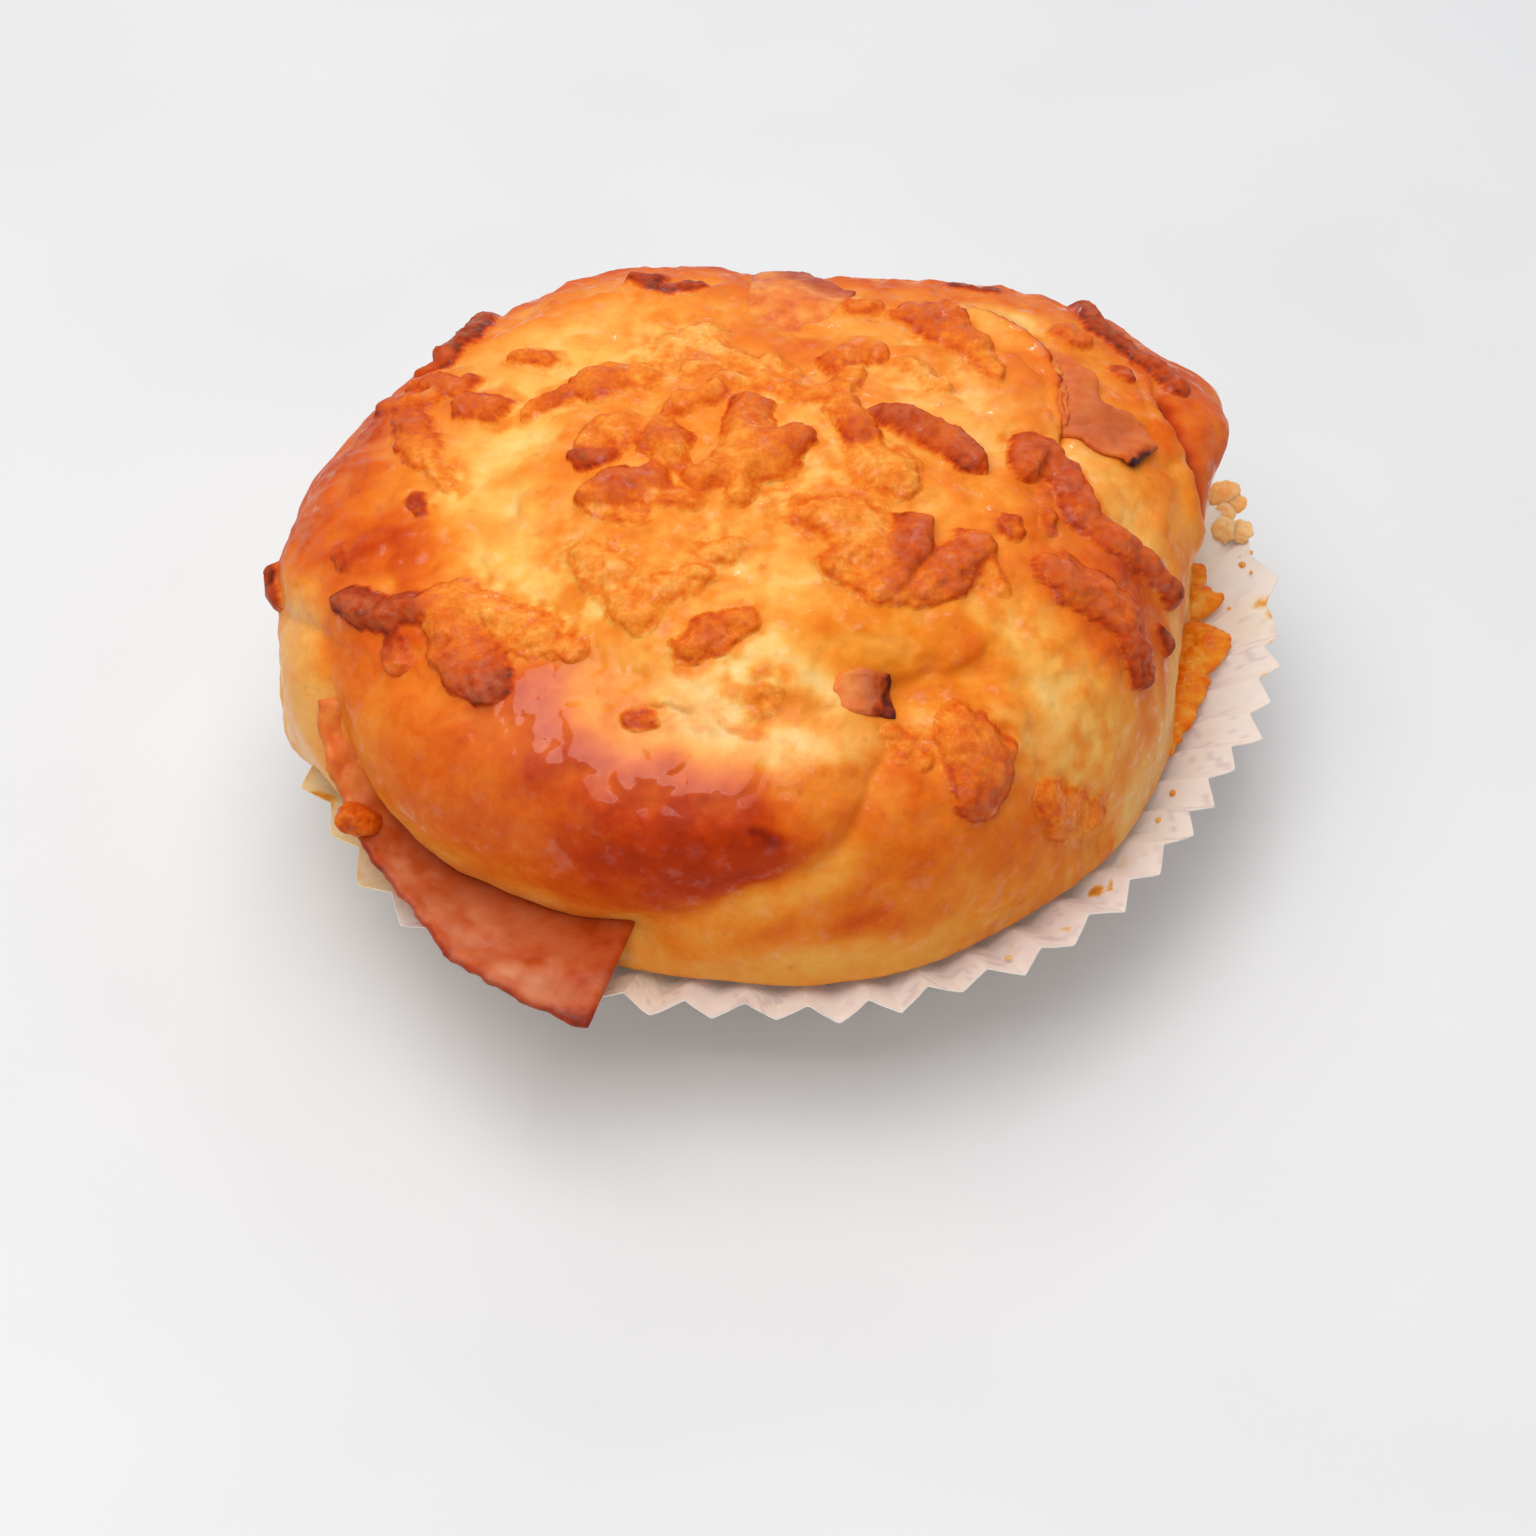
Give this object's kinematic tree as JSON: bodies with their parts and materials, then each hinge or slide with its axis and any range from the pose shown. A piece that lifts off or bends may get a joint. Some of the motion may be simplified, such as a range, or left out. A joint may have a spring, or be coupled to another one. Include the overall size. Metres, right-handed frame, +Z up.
{
  "type": "ham and cheese roll",
  "caption": "Round soft bread roll coiled round slices of ham, topped with toasted shreds of cheese, in a pleated paper case.",
  "frame": {"origin": "centre of the paper case's flat base, on the surface it rests on", "axes": "+Z up out of the case; +X to the right and +Y away from the viewer as pictured"},
  "size_m": [0.1155, 0.1162, 0.0548],
  "materials": {
    "crust": "soft baked crust, egg-washed",
    "ham": "moist sliced ham",
    "cheese": "toasted melted cheese",
    "paper": "thin greaseproof baking paper"
  },
  "bodies": {
    "root": {"bread": "crust", "paper_case": "paper", "ham_front": "ham", "ham_centre": "ham", "ham_right": "ham", "ham_back": "ham", "cheese_chain": "cheese", "cheese_arc": "cheese", "cheese_stick": "cheese", "cheese_fork": "cheese", "cheese_wedge": "cheese", "cheese_knuckle": "cheese", "cheese_crumble": "cheese", "cheese_clover": "cheese", "cheese_oval": "cheese", "cheese_button": "cheese", "cheese_saddle": "cheese", "cheese_pip": "cheese", "cheese_knob": "cheese", "cheese_chip": "cheese", "cheese_petal": "cheese", "cheese_lump_left": "cheese", "cheese_lump_right": "cheese", "cheese_tab": "cheese", "cheese_island": "cheese", "cheese_drip": "cheese", "cheese_rim_chip": "cheese", "cheese_crest": "cheese", "cheese_frill": "cheese"}
  },
  "joints": []
}
